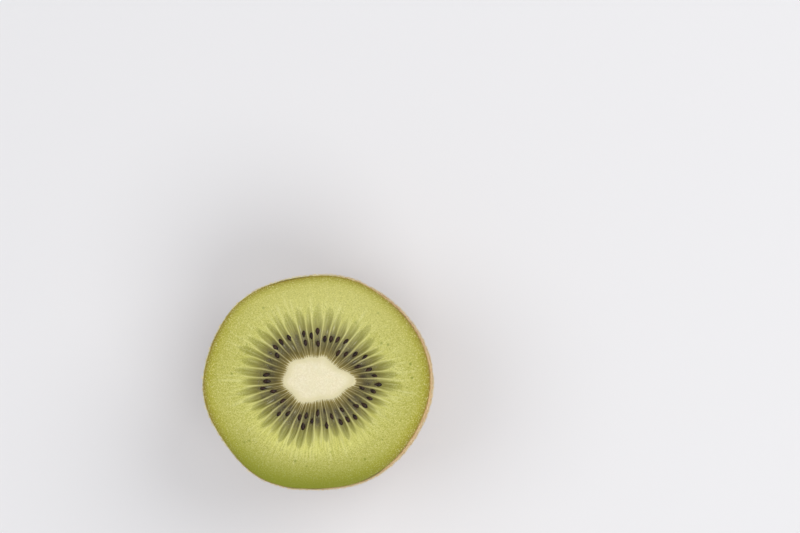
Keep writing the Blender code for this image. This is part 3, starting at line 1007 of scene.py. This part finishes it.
def make_hairs(name, grid, normals, count, length_range, radius, seed_number, material):
    """Hairs in small tufts, spread evenly over the peel."""
    draw = np.random.default_rng(seed_number)
    sides = grid.shape[1]
    tufts = count // TUFT
    corner = grid[:-1]
    below = grid[1:]
    across = np.roll(corner, -1, axis=1) - corner
    area = np.linalg.norm(np.cross(across, below - corner), axis=-1)
    area = area * (corner[..., 2] > BARE_HEIGHT)
    chance = (area / area.sum()).ravel()
    picked = np.repeat(draw.choice(len(chance), size=tufts, p=chance), TUFT)
    band, turn = np.divmod(picked, sides)
    along = np.repeat(draw.random(tufts), TUFT)[:, None]
    sideways = np.repeat(draw.random(tufts), TUFT)[:, None]
    after = (turn + 1) % sides
    upper = corner[band, turn] * (1 - sideways) + corner[band, after] * sideways
    lower = below[band, turn] * (1 - sideways) + below[band, after] * sideways
    normal = normals[band, turn]
    roots = upper * (1 - along) + lower * along - normal * HAIR_ROOT
    random_way = np.repeat(draw.normal(size=(tufts, 3)), TUFT, axis=0)
    random_way += draw.normal(size=(count, 3)) * 0.5
    flat = random_way - normal * np.sum(random_way * normal, axis=1, keepdims=True)
    roots = roots + flat * draw.normal(size=(count, 1)) * TUFT_SPREAD
    flat /= np.linalg.norm(flat, axis=1, keepdims=True)
    lean = np.radians(draw.uniform(*HAIR_LEAN, size=count))[:, None]
    ways = normal * np.cos(lean) + flat * np.sin(lean)
    bends = flat * 0.8 - normal * 0.3 + draw.normal(size=(count, 3)) * 0.25
    lengths = draw.uniform(*length_range, size=count)
    mesh = hair_mesh(name, roots, ways, bends, lengths, radius)
    hairs = place(name, mesh)
    mesh.materials.append(material)
    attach(hairs, "root")


def hair_material(name, dark, light):
    s = Shade(name)
    tone = s.noise(s.position(), 1 / (0.45 * MM), 2.0, 0.6)
    colour = s.mix(s.remap(tone, 0.36, 0.62), dark, light)
    # Painted light: paler towards the cut, standing in for the light that the hairs there catch
    hair_painted_light = s.remap(s.coordinate("Z"), CUT_HEIGHT - 16 * MM, CUT_HEIGHT - 3 * MM, 0.0, 0.8)
    colour = s.mix(hair_painted_light, colour, paint(255, 242, 200))
    s.set(Base_Color=colour, Roughness=0.5, IOR=1.5, Specular_IOR_Level=0.4)
    return s.material


def make_seeds():
    """The seeds on the cut, over those of the solid."""
    core_points = core_outline(OUTLINE_SAMPLES)
    draw = random.Random(SEED_SIZE_DRAW)
    joined = bmesh.new()
    for chamber, distance, turn in seed_places():
        spot, outward = seed_spot(chamber, distance, core_points)
        share = distance / outward.length
        height = float(cut_height(chamber, share))
        facing = math.atan2(outward.y, outward.x) + math.radians(turn)
        size = draw.uniform(*SEED_SIZES)
        height += draw.uniform(*SEED_LIFT) * MM
        pitch = draw.gauss(0, SEED_PITCH)
        placed = Matrix.Translation((spot.x, spot.y, height))
        placed @= Matrix.Rotation(facing, 4, "Z") @ Matrix.Rotation(pitch, 4, "Y")
        one = bmesh.new()
        bmesh.ops.create_uvsphere(one, u_segments=20, v_segments=14, radius=0.5)
        bmesh.ops.rotate(one, verts=one.verts, matrix=Matrix.Rotation(math.pi / 2, 3, "Y"))
        for v in one.verts:
            inward = max(0.0, -2 * v.co.x)
            narrowing = 1 - SEED_POINT * inward
            v.co.y *= narrowing * SEED_WIDTH * size
            v.co.z *= narrowing * SEED_THICKNESS * size
            v.co.x *= SEED_LENGTH * size
        one.transform(placed)
        mesh = bpy.data.meshes.new("one seed")
        one.to_mesh(mesh)
        one.free()
        joined.from_mesh(mesh)
        bpy.data.meshes.remove(mesh)
    mesh = bpy.data.meshes.new("kiwi_seeds")
    joined.to_mesh(mesh)
    joined.free()
    mesh.shade_smooth()
    seeds = place("kiwi_seeds", mesh)
    mesh.materials.append(seed_material())
    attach(seeds, "root")


def seed_material():
    s = Shade("seed coat")
    position = s.position()
    tone = s.noise(position, 1 / (0.8 * MM), 3.0, 0.6)
    colour = s.mix(s.remap(tone, 0.35, 0.68), paint(26, 14, 8), paint(60, 38, 24))
    relief = s.bump(s.cells(position, 1 / (0.16 * MM)), 0.02 * MM, 0.5)
    s.set(Base_Color=colour, Roughness=0.3, IOR=1.5, Specular_IOR_Level=0.2, Normal=relief)
    s.set(Coat_Weight=0.1, Coat_Roughness=0.05)
    return s.material


def make_scar():
    """The dry round mark of the stalk, sunk in the stem end."""
    turns = full_circle(SCAR_SIDES)
    rings = []
    draw = random.Random(SCAR_DRAW)
    for radius, height, ripple in SCAR_RINGS:
        rough = radius * MM * (1 + 0.02 * np.sin(turns * 9 + draw.uniform(0, 6)))
        level = height * MM + ripple * MM * np.sin(turns * 17 + radius * 3)
        rings.append(stem_ring(turns, rough, level))
    scar = closed_loft("stem_scar", rings)
    scar.data.materials.append(scar_material())
    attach(scar, "root")


def scar_material():
    s = Shade("dry stalk scar")
    grain = s.noise(s.position(), 1 / (0.7 * MM), 4.0, 0.7)
    colour = s.mix(s.remap(grain, 0.35, 0.65), paint(84, 62, 42), paint(160, 132, 98))
    s.set(Base_Color=colour, Roughness=0.85, Normal=s.bump(grain, 0.2 * MM, 1.0))
    return s.material


def make_floor():
    bpy.ops.mesh.primitive_plane_add(size=FLOOR_SIZE, location=(0, 0, 0))
    floor = bpy.context.object
    floor.name = "floor"
    s = Shade("pale table")
    s.set(Base_Color=FLOOR_COLOUR, Roughness=0.75)
    floor.data.materials.append(s.material)


def soft_light(name, azimuth, elevation, distance, size, power):
    """A round lamp that faces the middle of the floor."""
    light = bpy.data.lights.new(name, "AREA")
    light.shape = "DISK"
    light.size = size
    light.energy = power
    light.color = LAMP_COLOUR
    lamp = bpy.data.objects.new(name, light)
    turn, rise = math.radians(azimuth), math.radians(elevation)
    level = math.cos(rise)
    away = Vector((math.cos(turn) * level, math.sin(turn) * level, math.sin(rise)))
    lamp.location = away * distance
    lamp.rotation_mode = "QUATERNION"
    lamp.rotation_quaternion = away.to_track_quat("Z", "Y")
    bpy.context.scene.collection.objects.link(lamp)


def make_light():
    for lamp in LAMPS:
        soft_light(*lamp)
    world = bpy.data.worlds.new("room")
    world.use_nodes = True
    room = world.node_tree.nodes["Background"]
    room.inputs["Color"].default_value = ROOM_COLOUR
    room.inputs["Strength"].default_value = ROOM_STRENGTH
    bpy.context.scene.world = world
    bpy.context.scene.view_settings.view_transform = "Standard"


def make_camera():
    """Looks down at the cut so that its middle falls on the right pixel."""
    data = bpy.data.cameras.new("camera")
    data.lens = FOCAL_LENGTH
    data.sensor_width = SENSOR_WIDTH
    data.clip_start = 0.01
    camera = bpy.data.objects.new("camera", data)
    tilt, azimuth = math.radians(CAMERA_TILT), math.radians(CAMERA_AZIMUTH)
    back = Vector((
        math.sin(tilt) * math.cos(azimuth),
        math.sin(tilt) * math.sin(azimuth),
        math.cos(tilt),
    ))
    rim = peel_ring(full_circle(360), CUT_HEIGHT)
    middle = Vector((rim.min(axis=0) + rim.max(axis=0)) / 2)
    right = Vector((back.z, 0, -back.x)).normalized()
    up = back.cross(right)
    turn = Matrix((right, up, back)).transposed().to_quaternion()
    pixel = SENSOR_WIDTH / FOCAL_LENGTH / FRAME_WIDTH
    ray = Vector((
        (CUT_PIXEL[0] - FRAME_WIDTH / 2) * pixel,
        (FRAME_HEIGHT / 2 - CUT_PIXEL[1]) * pixel,
        -1,
    ))
    camera.location = middle + back * CAMERA_DISTANCE
    camera.rotation_mode = "QUATERNION"
    camera.rotation_quaternion = (turn @ ray).rotation_difference(-back) @ turn
    bpy.context.scene.collection.objects.link(camera)
    bpy.context.scene.camera = camera


def save_sizes():
    bpy.context.view_layer.update()


make_camera()
make_light()
make_floor()
make_flesh()
make_core()
make_seeds()
PEEL_GRID, PEEL_NORMALS = peel_grid()
make_peel(PEEL_GRID, PEEL_NORMALS)
make_hairs(
    "kiwi_hairs", PEEL_GRID, PEEL_NORMALS, HAIRS, HAIR_LENGTH, HAIR_RADIUS, HAIR_DRAW,
    hair_material("long hairs", paint(214, 170, 108), paint(255, 240, 190)),
)
make_hairs(
    "kiwi_down", PEEL_GRID, PEEL_NORMALS, DOWN_HAIRS, DOWN_LENGTH, DOWN_RADIUS, DOWN_DRAW,
    hair_material("short down", paint(190, 148, 92), paint(250, 224, 168)),
)
make_scar()
save_sizes()
